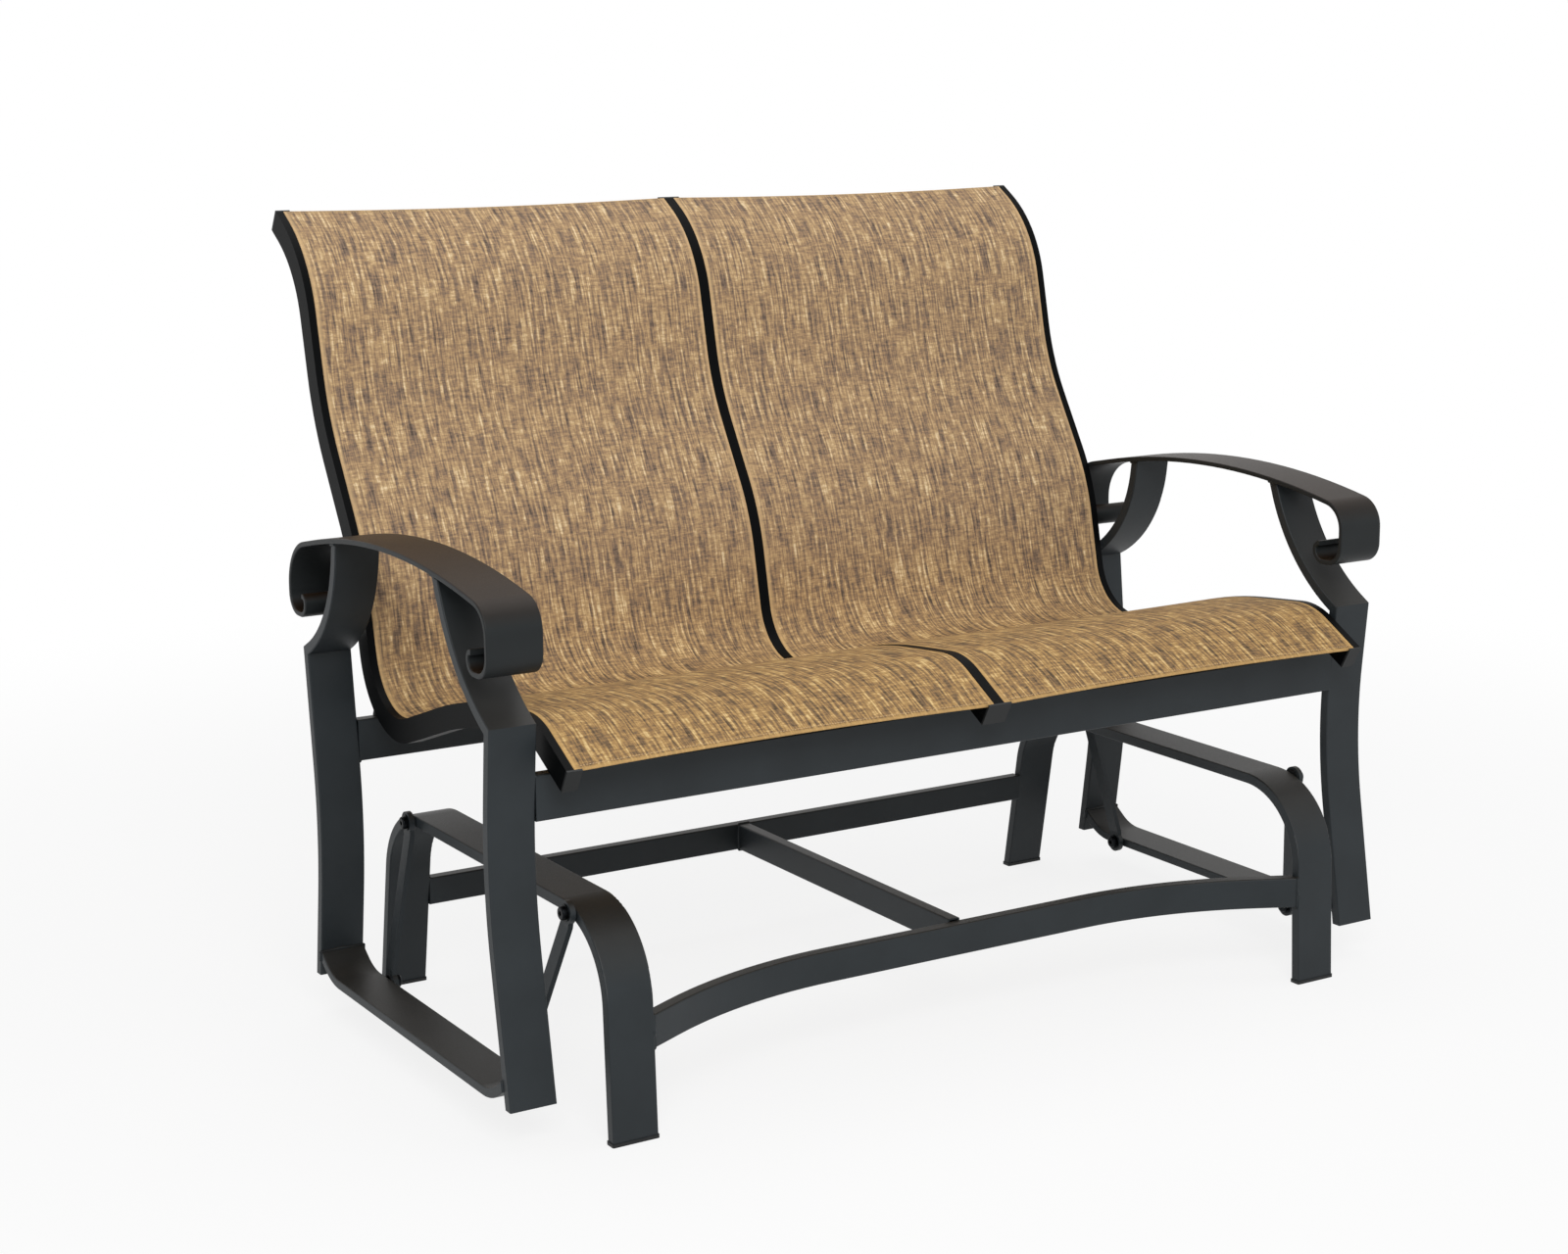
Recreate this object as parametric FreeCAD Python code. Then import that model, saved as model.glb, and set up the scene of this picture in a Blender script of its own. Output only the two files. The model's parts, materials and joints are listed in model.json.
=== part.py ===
import FreeCAD, Part
import math
import os

Vector = FreeCAD.Vector

# A two-seat porch glider: a standing base of two bent flat-bar arches and three stretchers, and a
# seat frame that hangs from the arches on four flat links and swings forward and back between them.
# X runs across the seat, Y from front to back, Z up from the floor, all in millimetres.
# Outlines are drawn in the side view with y measured from the front feet of the seat frame, and the
# finished pieces are moved so that the middle of the whole depth lies on Y = 0.

# Widths
seat_width = 1200.0
bar_width = 54.0
side_gap = 45.5

# Seat legs, drawn along their front faces
bar_thick = 13.0
bar_round = 1.6
leg_foot_z = 47.0
leg_bend_radius = 650.0
front_foot_y = 0.0
front_bend_y = 40.0
front_bend_z = 284.0
front_crease_y = 24.0
front_crease_z = 450.0
rear_foot_y = 519.0
rear_bend_y = 492.0
rear_bend_z = 228.0
rear_crease_y = 514.0
rear_crease_z = 440.0

# Arm posts, which leave the leg tops at a crease and curve up to the arms
front_post_start_angle = 31.0
front_post_end_angle = 70.0
front_post_bend_radius = 240.0
front_post_inset = 125.0
rear_post_start_angle = 154.0
rear_post_end_angle = 98.0
rear_post_bend_radius = 165.0
rear_post_inset = 138.0

# Arms, drawn along their upper face, with a hooked scroll at each end
arm_width = 64.0
arm_set_out = -0.5
arm_thick = 6.0
arm_round = 1.5
arm_crown_y = 258.0
arm_crown_z = 601.5
arm_crown_radius = 1150.0
arm_fall_angle = 11.4
arm_front_y = 14.0
arm_rear_y = 554.0
arm_front_shoulder_radius = 38.0
arm_rear_shoulder_radius = 60.0
scroll_front_drop = 74.5
scroll_rear_drop = 81.0
scroll_reach = 51.0
scroll_radius = 25.0
scroll_hook_radius = 17.0
scroll_tip_rise = 28.0
scroll_tip_radius = 10.5
scroll_tip_run = 12.0

# Base arches, drawn along their outer face
base_thick = 13.0
base_top_z = 244.5
base_bend_radius = 100.0
base_front_foot_y = -37.0
base_front_top_y = -27.0
base_rear_foot_y = 574.0
base_rear_top_y = 531.0
glide_thick = 4.0
glide_lip = 1.0

# Bottom rails of the seat frame, drawn along their upper face
side_rail_thick = 11.0
side_rail_top_z = 56.0
side_rail_end_rise = 22.0
side_rail_end_run = 32.0
side_rail_bend_radius = 60.0

# Oblong tubes of the base stretchers
front_stretcher_top_z = 134.0
rear_stretcher_top_z = 137.0
stretcher_depth = 16.0
front_stretcher_height = 37.0
rear_stretcher_height = 34.0
tube_wall = 2.0
tube_round = 2.0
front_stretcher_bow = 76.0
front_stretcher_end_run = 150.0
front_stretcher_radius = 500.0
front_stretcher_end_set = 1.0

# Crossbars of the seat frame
crossbar_height = 50.0
front_crossbar_z = 369.0
rear_crossbar_z = 332.0
crossbar_depth = 16.0

# Sling line, along the upper face of the fabric from the front edge to the top of the back
sling_front_y = -26.0
sling_front_z = 410.0
sling_nose_y = 50.0
sling_nose_z = 453.0
sling_nose_radius = 90.0
sling_thigh_y = 215.0
sling_thigh_z = 437.5
sling_thigh_radius = 600.0
sling_hip_y = 460.0
sling_hip_z = 355.0
sling_hip_radius = 75.0
sling_waist_y = 501.0
sling_waist_z = 553.0
sling_waist_radius = 280.0
sling_shoulder_y = 594.5
sling_shoulder_z = 708.0
sling_shoulder_radius = 300.0
sling_head_y = 634.5
sling_head_z = 892.0
sling_head_radius = 165.0
sling_top_y = 711.5
sling_top_z = 940.5

# Sling rails, whose slots grip the edges of the fabric
rail_depth = 28.0
rail_side_gap = 7.0
rail_lip = 9.0
rail_land = 9.0
center_strip = 13.0
slot_width = 2.6
slot_depth = 4.2
channel_width = 7.0
channel_depth = 7.0
rail_wall = 2.2
rail_cap_thick = 2.5
rail_plug_length = 12.0
rail_plug_clear = 0.15

# Fabric panels and the rods in their hems
fabric_thick = 1.8
fabric_clear = 0.25
rod_radius = 2.4

# Spreader tubes between the rails, behind the fabric of the back
spreader_height = 30.0
spreader_depth = 12.0
spreader_wall = 1.6
spreader_clear = 11.0
upper_spreader_drop = 90.5
lower_spreader_drop = 350.5

# Tabs and screws that carry the rails on the crossbars
tab_thick = 5.0
tab_base = 16.0
tab_eye_radius = 8.5
front_tab_share = 0.3
rear_tab_share = 0.78
screw_radius = 2.5
screw_length = 14.0
screw_head_radius = 5.0
screw_head_thick = 3.0

# Links and their pivots
link_width = 18.0
link_thick = 6.0
link_eye_radius = 13.0
link_straight = 15.0
link_bend_radius = 14.0
front_link_top_y = 46.0
rear_link_top_y = 460.0
front_link_foot_y = 92.0
upper_pivot_drop = 8.5
rear_link_foot_y = 441.0
pivot_radius = 4.0
pivot_run_clear = 0.06
pivot_side_clear = 0.2
pivot_grip = 26.0
pivot_head_radius = 7.5
pivot_head_thick = 5.0
pivot_socket_radius = 3.0
pivot_socket_depth = 2.6
washer_radius = 9.5
washer_thick = 1.2
bush_wall = 2.0
bush_fit_clear = 0.03
bush_flange_radius = 10.0
bush_flange_thick = 1.5
open_pivot_clear = 3.8
open_bush_wall = 1.2

# Places that follow from the sizes above
seat_outer = seat_width / 2
seat_inner = seat_outer - bar_width
base_outer = seat_inner - side_gap
base_inner = base_outer - bar_width
arm_middle = seat_outer - bar_width / 2 + arm_set_out
arm_low = arm_middle - arm_width / 2
arm_high = arm_middle + arm_width / 2
rail_outer = seat_inner - rail_side_gap
panel_outer = rail_outer - rail_lip
rail_inner = panel_outer - rail_land
panel_inner = center_strip / 2
center_rail_half = panel_inner + rail_land
fabric_seat = fabric_thick + fabric_clear
channel_top = fabric_seat + slot_depth
channel_floor = channel_top + channel_depth
hollow_top = channel_floor + rail_wall
hollow_middle = (hollow_top + rail_depth - rail_wall) / 2
SIDES = {"left": -1, "right": 1}


# Outline tools: a path is a list of straight runs and tangent arcs in a flat plane

def unit(a, b):
    size = math.hypot(a, b)
    return (a / size, b / size)


def turned(vector, angle):
    return (vector[0] * math.cos(angle) - vector[1] * math.sin(angle),
            vector[0] * math.sin(angle) + vector[1] * math.cos(angle))


def stepped(point, degrees, length):
    angle = math.radians(degrees)
    return (point[0] + length * math.cos(angle), point[1] + length * math.sin(angle))


def crossing(p, degrees_p, q, degrees_q):
    """Point where the line through p at one angle meets the line through q at another."""
    a = stepped((0.0, 0.0), degrees_p, 1.0)
    b = stepped((0.0, 0.0), degrees_q, 1.0)
    det = a[1] * b[0] - a[0] * b[1]
    step = ((q[1] - p[1]) * b[0] - (q[0] - p[0]) * b[1]) / det
    return (p[0] + step * a[0], p[1] + step * a[1])


def corner_turn(before, point, after):
    t1 = unit(point[0] - before[0], point[1] - before[1])
    t2 = unit(after[0] - point[0], after[1] - point[1])
    turn = math.atan2(t1[0] * t2[1] - t1[1] * t2[0], t1[0] * t2[0] + t1[1] * t2[1])
    return t1, t2, turn


def rounded_corner(before, point, after, reach):
    """Tangent arc at a corner, from the given distance before it to the same distance past it."""
    t1, t2, turn = corner_turn(before, point, after)
    size = reach / abs(math.tan(turn / 2))
    side = 1 if turn > 0 else -1
    start = (point[0] - reach * t1[0], point[1] - reach * t1[1])
    end = (point[0] + reach * t2[0], point[1] + reach * t2[1])
    centre = (start[0] - side * size * t1[1], start[1] + side * size * t1[0])
    return {"kind": "arc", "start": start, "end": end, "centre": centre, "radius": size,
            "side": side, "turn": turn}


def outline(points, radii):
    """Straight runs through the points, with an arc of the given radius at each inner point.

    Arcs that would overlap on a run are drawn smaller, in proportion."""
    corners = list(zip(points, points[1:], points[2:]))
    reaches = [0.0] + [radius * abs(math.tan(corner_turn(*corner)[2] / 2))
                       for corner, radius in zip(corners, radii)] + [0.0]
    runs = [math.dist(p, q) for p, q in zip(points, points[1:])]
    scales = [min(1.0, run / (a + b)) for run, a, b in zip(runs, reaches, reaches[1:])]
    path = []
    place = points[0]
    for index, corner in enumerate(corners):
        reach = reaches[index + 1] * min(scales[index], scales[index + 1])
        arc = rounded_corner(*corner, reach)
        path.append({"kind": "line", "start": place, "end": arc["start"]})
        path.append(arc)
        place = arc["end"]
    path.append({"kind": "line", "start": place, "end": points[-1]})
    return [run for run in path if math.dist(run["start"], run["end"]) > 1e-4]


def heading(run, share):
    if run["kind"] == "line":
        return unit(run["end"][0] - run["start"][0], run["end"][1] - run["start"][1])
    radial = unit(run["start"][0] - run["centre"][0], run["start"][1] - run["centre"][1])
    return turned((-run["side"] * radial[1], run["side"] * radial[0]), share * run["turn"])


def place_on(run, share, offset=0.0, skew=0.0):
    """Point at a share of a run, moved to its left by the offset and forward by a share of that."""
    t = heading(run, share)
    if run["kind"] == "line":
        point = (run["start"][0] + share * (run["end"][0] - run["start"][0]),
                 run["start"][1] + share * (run["end"][1] - run["start"][1]))
    else:
        radial = turned((run["start"][0] - run["centre"][0], run["start"][1] - run["centre"][1]),
                        share * run["turn"])
        point = (run["centre"][0] + radial[0], run["centre"][1] + radial[1])
    return (point[0] - offset * t[1] + skew * offset * t[0],
            point[1] + offset * t[0] + skew * offset * t[1])


def station(path, axis, value, after=0):
    """First place where the path passes the value on one axis, from one of its runs onward."""
    steps = 64
    for run in path[after:]:
        shares = [0.0, 1.0] if run["kind"] == "line" else [i / steps for i in range(steps + 1)]
        for low, high in zip(shares, shares[1:]):
            p = place_on(run, low)[axis]
            q = place_on(run, high)[axis]
            if p != q and min(p, q) <= value <= max(p, q):
                share = low + (high - low) * (value - p) / (q - p)
                return {"point": place_on(run, share), "heading": heading(run, share)}
    raise ValueError("the path does not reach %s" % value)


def angle_of(direction):
    return math.degrees(math.atan2(direction[1], direction[0]))


def mitre(angle_in, angle_out):
    """Share of an offset by which two bars run on past a crease to meet on its bisector."""
    return math.tan(math.radians(angle_out - angle_in) / 2)


def level_skew(direction, slope=0.0):
    """Skew that cuts the end of a bar along a line of the given slope, level unless given."""
    lean = math.atan2(direction[1], direction[0]) - math.atan(slope)
    return -1 / math.tan(lean)


def plumb_skew(direction):
    """Skew that cuts the end of a bar square to the first axis of its plane."""
    return direction[1] / direction[0]


def side_view(point, across):
    return Vector(across, point[0], point[1])


def plan_view(point, across):
    return Vector(point[0], point[1], across)


def front_view(point, across):
    return Vector(point[0], across, point[1])


# Solid tools

def path_edges(path, offset, level, view, start_skew=0.0, end_skew=0.0):
    edges = []
    for index, run in enumerate(path):
        first = start_skew if index == 0 else 0.0
        last = end_skew if index == len(path) - 1 else 0.0
        p = view(place_on(run, 0.0, offset, first), level)
        q = view(place_on(run, 1.0, offset, last), level)
        if run["kind"] == "line":
            edges.append(Part.LineSegment(p, q).toShape())
        else:
            edges.append(Part.Arc(p, view(place_on(run, 0.5, offset), level), q).toShape())
    return edges


def band(path, near, far, low, high, view=side_view, start_skew=0.0, end_skew=0.0, round_off=0.0):
    """Solid between two offsets of a path, from low to high across the path's plane."""
    one = path_edges(path, near, low, view, start_skew, end_skew)
    two = path_edges(path, far, low, view, start_skew, end_skew)
    corners = []
    for run, share, skew in ((path[0], 0.0, start_skew), (path[-1], 1.0, end_skew)):
        corners.append([view(place_on(run, share, offset, skew), low) for offset in (near, far)])
    caps = [Part.LineSegment(*pair).toShape() for pair in corners]
    wire = Part.Wire(Part.__sortEdges__(one + two + caps))
    step = view((0.0, 0.0), high) - view((0.0, 0.0), low)
    solid = Part.Face(wire).extrude(step)
    if round_off:
        middles = [(pair[0] + pair[1]) * 0.5 for pair in corners]
        middles += [middle + step for middle in middles]
        across = step * (1 / step.Length)
        edges = [edge for edge in solid.Edges if lies_across(edge, across)
                 and all(edge.CenterOfMass.distanceToPoint(middle) > 0.01 for middle in middles)]
        solid = solid.makeFillet(round_off, edges)
    return solid


def lies_across(edge, across):
    heights = [edge.valueAt(parameter).dot(across) for parameter in edge.ParameterRange]
    middle = edge.valueAt(sum(edge.ParameterRange) / 2).dot(across)
    return max(heights + [middle]) - min(heights + [middle]) < 1e-6


def box(x0, x1, y0, y1, z0, z1):
    low = Vector(min(x0, x1), min(y0, y1), min(z0, z1))
    return Part.makeBox(abs(x1 - x0), abs(y1 - y0), abs(z1 - z0), low)


def straight(start, end):
    return [{"kind": "line", "start": start, "end": end}]


def rod(radius, start, direction, length):
    return Part.makeCylinder(radius, length, start, direction)


def oblong_tube(path, depth, low, high, wall, view, start_skew=0.0, end_skew=0.0):
    """Tube with rounded long edges, its front face on the path and its depth to the left."""
    skews = (start_skew, end_skew)
    outside = band(path, 0.0, depth, low, high, view, *skews, round_off=tube_round)
    inside = band(path, wall, depth - wall, low + wall, high - wall, view, *skews)
    return outside.cut(inside)


def across_span(side, low, high):
    return (low, high) if side > 0 else (-high, -low)


# Outlines

front_post_top_y = arm_front_y + front_post_inset
rear_post_top_y = arm_rear_y - rear_post_inset
fall = math.tan(math.radians(arm_fall_angle))
crown_lift = arm_crown_radius * (1 / math.cos(math.radians(arm_fall_angle)) - 1)
arm_peak = (arm_crown_y, arm_crown_z + crown_lift)
arm_front_corner = (arm_front_y, arm_peak[1] - (arm_crown_y - arm_front_y) * fall)
arm_rear_corner = (arm_rear_y, arm_peak[1] - (arm_rear_y - arm_crown_y) * fall)
scroll_front_z = arm_front_corner[1] - scroll_front_drop
scroll_rear_z = arm_rear_corner[1] - scroll_rear_drop
crown_path = outline([arm_front_corner, arm_peak, arm_rear_corner], [arm_crown_radius])
front_hook_y = arm_front_y + scroll_reach
rear_hook_y = arm_rear_y - scroll_reach
arm_path = outline(
    [(front_hook_y - scroll_tip_run, scroll_front_z + scroll_tip_rise),
     (front_hook_y, scroll_front_z + scroll_tip_rise),
     (front_hook_y, scroll_front_z),
     (arm_front_y, scroll_front_z),
     arm_front_corner,
     arm_peak,
     arm_rear_corner,
     (arm_rear_y, scroll_rear_z),
     (rear_hook_y, scroll_rear_z),
     (rear_hook_y, scroll_rear_z + scroll_tip_rise),
     (rear_hook_y + scroll_tip_run, scroll_rear_z + scroll_tip_rise)],
    [scroll_tip_radius, scroll_hook_radius, scroll_radius, arm_front_shoulder_radius,
     arm_crown_radius, arm_rear_shoulder_radius, scroll_radius, scroll_hook_radius,
     scroll_tip_radius])

front_crease = (front_crease_y, front_crease_z)
rear_crease = (rear_crease_y, rear_crease_z)
front_leg_path = outline(
    [(front_foot_y, leg_foot_z), (front_bend_y, front_bend_z), front_crease], [leg_bend_radius])
rear_leg_path = outline(
    [(rear_foot_y, leg_foot_z), (rear_bend_y, rear_bend_z), rear_crease], [leg_bend_radius])


def under_arm(y):
    """Point of the arm's underside, square below the given place of its upper face."""
    spot = station(crown_path, 0, y)
    t = spot["heading"]
    return (spot["point"][0] + arm_thick * t[1], spot["point"][1] - arm_thick * t[0])


def post_path(crease, start_angle, end_angle, bend_radius, top_y):
    """Front face of an arm post, from the crease at the leg's top to the arm's underside."""
    top = under_arm(top_y)
    bend = crossing(crease, start_angle, top, end_angle)
    return outline([crease, bend, top], [bend_radius])


front_post_path = post_path(front_crease, front_post_start_angle, front_post_end_angle,
                            front_post_bend_radius, front_post_top_y)
rear_post_path = post_path(rear_crease, rear_post_start_angle, rear_post_end_angle,
                           rear_post_bend_radius, rear_post_top_y)

base_path = outline(
    [(base_front_foot_y, glide_thick), (base_front_top_y, base_top_z),
     (base_rear_top_y, base_top_z), (base_rear_foot_y, glide_thick)],
    [base_bend_radius, base_bend_radius])

side_rail_end_z = side_rail_top_z + side_rail_end_rise
side_rail_front_y = station(front_leg_path, 1, side_rail_end_z)["point"][0] + bar_thick
side_rail_rear_y = station(rear_leg_path, 1, side_rail_end_z)["point"][0]
side_rail_path = outline(
    [(side_rail_front_y - bar_thick, side_rail_end_z + side_rail_end_rise * bar_thick
      / side_rail_end_run),
     (side_rail_front_y + side_rail_end_run, side_rail_top_z),
     (side_rail_rear_y - side_rail_end_run, side_rail_top_z),
     (side_rail_rear_y + bar_thick, side_rail_end_z + side_rail_end_rise * bar_thick
      / side_rail_end_run)],
    [side_rail_bend_radius, side_rail_bend_radius])

sling_points = [
    (sling_front_y, sling_front_z), (sling_nose_y, sling_nose_z), (sling_thigh_y, sling_thigh_z),
    (sling_hip_y, sling_hip_z), (sling_waist_y, sling_waist_z),
    (sling_shoulder_y, sling_shoulder_z), (sling_head_y, sling_head_z),
    (sling_top_y, sling_top_z)]
sling_radii = [sling_nose_radius, sling_thigh_radius, sling_hip_radius, sling_waist_radius,
               sling_shoulder_radius, sling_head_radius]
sling_path = outline(sling_points, sling_radii)
sling_arcs = [run for run in sling_path if run["kind"] == "arc"]
nose_arc = sling_arcs[0]
hip_arc = sling_arcs[2]
waist_arc = sling_arcs[3]

# Crossbars stand in line with the middle of the legs that they join
front_crossbar_y = (station(front_leg_path, 1, front_crossbar_z)["point"][0] + bar_thick / 2
                    - crossbar_depth / 2)
rear_crossbar_y = (station(rear_leg_path, 1, rear_crossbar_z)["point"][0] + bar_thick / 2
                   - crossbar_depth / 2)
front_crossbar_top = front_crossbar_z + crossbar_height / 2
rear_crossbar_top = rear_crossbar_z + crossbar_height / 2

nodes = {}


# Base: two arches, three stretchers and four glides

def base_arch(side):
    skews = [level_skew(heading(base_path[0], 0.0)), level_skew(heading(base_path[-1], 1.0))]
    low, high = across_span(side, base_inner, base_outer)
    return band(base_path, 0.0, -base_thick, low, high, side_view, *skews, round_off=bar_round)


def foot_glide(side, run, share):
    """Pad under the end of an arch, as long as the bar's cut end and a lip all round."""
    skew = level_skew(heading(run, share))
    ends = [place_on(run, share, offset, skew)[0] for offset in (0.0, -base_thick)]
    low, high = across_span(side, base_inner - glide_lip, base_outer + glide_lip)
    pad = box(low, high, min(ends) - glide_lip, max(ends) + glide_lip, 0.0, glide_thick)
    upright = [edge for edge in pad.Edges if not lies_across(edge, Vector(0, 0, 1))]
    return pad.makeFillet(2 * glide_lip, upright)


def rear_stretcher():
    middle_z = rear_stretcher_top_z - rear_stretcher_height / 2
    rear_leg = station(base_path, 1, middle_z, after=len(base_path) - 1)
    middle = rear_leg["point"][0] - base_thick / 2 / abs(rear_leg["heading"][1])
    front = middle - stretcher_depth / 2
    path = straight((-base_inner, front), (base_inner, front))
    tube = oblong_tube(path, stretcher_depth, rear_stretcher_top_z - rear_stretcher_height,
                       rear_stretcher_top_z, tube_wall, plan_view)
    return tube, front


def front_stretcher():
    front_leg = station(base_path, 1, front_stretcher_top_z - front_stretcher_height / 2)
    end_y = front_leg["point"][0] + front_stretcher_end_set
    corner_x = base_inner - front_stretcher_end_run
    path = outline(
        [(-base_inner, end_y), (-corner_x, end_y + front_stretcher_bow),
         (corner_x, end_y + front_stretcher_bow), (base_inner, end_y)],
        [front_stretcher_radius, front_stretcher_radius])
    skews = [plumb_skew(heading(path[0], 0.0)), plumb_skew(heading(path[-1], 1.0))]
    tube = oblong_tube(path, stretcher_depth, front_stretcher_top_z - front_stretcher_height,
                       front_stretcher_top_z, tube_wall, plan_view, *skews)
    return tube, end_y + front_stretcher_bow + stretcher_depth


def center_stretcher(start_y, end_y):
    edge = -stretcher_depth / 2
    path = straight((-edge, start_y), (-edge, end_y))
    return oblong_tube(path, stretcher_depth, rear_stretcher_top_z - rear_stretcher_height,
                       rear_stretcher_top_z, tube_wall, plan_view)


for name, side in SIDES.items():
    nodes["base_arch_" + name] = base_arch(side)
    nodes["foot_glide_front_" + name] = foot_glide(side, base_path[0], 0.0)
    nodes["foot_glide_rear_" + name] = foot_glide(side, base_path[-1], 1.0)
nodes["base_front_stretcher"], front_stretcher_back = front_stretcher()
nodes["base_rear_stretcher"], rear_stretcher_front = rear_stretcher()
nodes["base_center_stretcher"] = center_stretcher(front_stretcher_back, rear_stretcher_front)


# Seat frame: legs, arm posts, arms, bottom rails and crossbars

def leg(side, path, post):
    crease = mitre(angle_of(heading(path[-1], 1.0)), angle_of(heading(post[0], 0.0)))
    low, high = across_span(side, seat_inner, seat_outer)
    return band(path, 0.0, -bar_thick, low, high, side_view,
                level_skew(heading(path[0], 0.0)), -crease, round_off=bar_round)


def arm_post(side, path, post, top_y):
    crease = mitre(angle_of(heading(path[-1], 1.0)), angle_of(heading(post[0], 0.0)))
    front = under_arm(top_y)
    back = under_arm(top_y + bar_thick)
    top_skew = level_skew(heading(post[-1], 1.0), (back[1] - front[1]) / (back[0] - front[0]))
    low, high = across_span(side, seat_inner, seat_outer)
    return band(post, 0.0, -bar_thick, low, high, side_view, crease, top_skew,
                round_off=bar_round)


def arm(side):
    low, high = across_span(side, arm_low, arm_high)
    return band(arm_path, 0.0, -arm_thick, low, high, round_off=arm_round)


def side_rail(side):
    low, high = across_span(side, seat_inner, seat_outer)
    bar = band(side_rail_path, 0.0, -side_rail_thick, low, high, round_off=bar_round)
    before = band(front_leg_path, 4 * bar_thick, -bar_thick, low - 1, high + 1)
    behind = band(rear_leg_path, 0.0, -4 * bar_thick, low - 1, high + 1)
    return bar.cut(before).cut(behind)


def crossbar(front, middle_z):
    path = straight((-seat_inner, front), (seat_inner, front))
    return oblong_tube(path, crossbar_depth, middle_z - crossbar_height / 2,
                       middle_z + crossbar_height / 2, tube_wall, plan_view)


for name, side in SIDES.items():
    nodes["leg_front_" + name] = leg(side, front_leg_path, front_post_path)
    nodes["leg_rear_" + name] = leg(side, rear_leg_path, rear_post_path)
    nodes["arm_post_front_" + name] = arm_post(side, front_leg_path, front_post_path,
                                               front_post_top_y)
    nodes["arm_post_rear_" + name] = arm_post(side, rear_leg_path, rear_post_path,
                                              rear_post_top_y)
    nodes["arm_" + name] = arm(side)
    nodes["side_rail_" + name] = side_rail(side)
nodes["seat_front_crossbar"] = crossbar(front_crossbar_y, front_crossbar_z)
nodes["seat_rear_crossbar"] = crossbar(rear_crossbar_y, rear_crossbar_z)


# Sling rails, each with a slot and a channel for every panel edge that it grips

outer_grooves = {"left": [(-panel_outer, 1)], "right": [(panel_outer, -1)]}
center_grooves = [(-panel_inner, -1), (panel_inner, 1)]


def rail(low, high, grooves):
    solid = band(sling_path, 0.0, -rail_depth, low, high)
    solid = solid.cut(band(sling_path, -hollow_top, rail_wall - rail_depth,
                           low + rail_wall, high - rail_wall))
    for edge, way in grooves:
        land = sorted([edge, edge + way * (rail_land + 1)])
        slot = sorted([edge, edge + way * slot_width])
        middle = edge + way * slot_width / 2
        solid = solid.cut(band(sling_path, 1.0, -fabric_seat, *land))
        solid = solid.cut(band(sling_path, 0.0, -channel_top, *slot))
        solid = solid.cut(band(sling_path, -channel_top, -channel_floor,
                               middle - channel_width / 2, middle + channel_width / 2))
    return solid


def end_path(share, length):
    """Straight run of the given length beyond one end of the sling line."""
    run = sling_path[0] if share == 0.0 else sling_path[-1]
    point = place_on(run, share)
    t = heading(run, share)
    if share == 0.0:
        return straight((point[0] - length * t[0], point[1] - length * t[1]), point)
    return straight(point, (point[0] + length * t[0], point[1] + length * t[1]))


def rail_cap(low, high, share):
    """Plate over the cut end of a rail, with a plug in its hollow."""
    plate = band(end_path(share, rail_cap_thick), 0.0, -rail_depth, low, high)
    run = sling_path[0] if share == 0.0 else sling_path[-1]
    point = place_on(run, share)
    t = heading(run, share)
    inward = rail_plug_length if share == 0.0 else -rail_plug_length
    inner = (point[0] + inward * t[0], point[1] + inward * t[1])
    path = straight(point, inner) if share == 0.0 else straight(inner, point)
    plug = band(path, -hollow_top - rail_plug_clear, rail_wall + rail_plug_clear - rail_depth,
                low + rail_wall + rail_plug_clear, high - rail_wall - rail_plug_clear)
    return plate.fuse(plug).removeSplitter()


rail_spans = {
    "left": (-rail_outer, -rail_inner, outer_grooves["left"]),
    "center": (-center_rail_half, center_rail_half, center_grooves),
    "right": (rail_inner, rail_outer, outer_grooves["right"])}
for name, (low, high, grooves) in rail_spans.items():
    nodes["sling_rail_" + name] = rail(low, high, grooves)
nodes["rail_caps_front"] = Part.Compound([rail_cap(low, high, 0.0)
                                          for low, high, _ in rail_spans.values()])
nodes["rail_caps_back"] = Part.Compound([rail_cap(low, high, 1.0)
                                         for low, high, _ in rail_spans.values()])


# Fabric panels: each hem turns down through its slot and holds a rod in the channel

def panel(side):
    low, high = across_span(side, panel_inner + fabric_clear, panel_outer - fabric_clear)
    solid = band(sling_path, 0.0, -fabric_thick, low, high)
    tuck = channel_top + fabric_clear
    for edge, way in ((low, 1), (high, -1)):
        hem = sorted([edge, edge + way * fabric_thick])
        solid = solid.fuse(band(sling_path, 0.0, -tuck, *hem))
    return solid.removeSplitter()


def hem_rod(edge, way):
    """Rod below the hem of a panel, in the middle of the channel."""
    offset = -(channel_top + fabric_clear + rod_radius)
    middle = edge + way * slot_width / 2
    spine = Part.Wire(path_edges(sling_path, offset, middle, side_view))
    start = place_on(sling_path[0], 0.0, offset)
    t = heading(sling_path[0], 0.0)
    ring = Part.Circle(side_view(start, middle), Vector(0, t[0], t[1]), rod_radius).toShape()
    return spine.makePipeShell([Part.Wire(ring)], True, False)


for name, side in SIDES.items():
    nodes["sling_" + name] = panel(side)
    nodes["hem_rods_" + name] = Part.Compound([
        hem_rod(side * panel_inner, side), hem_rod(side * panel_outer, -side)])


# Spreaders hold the rails apart behind the back

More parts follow.
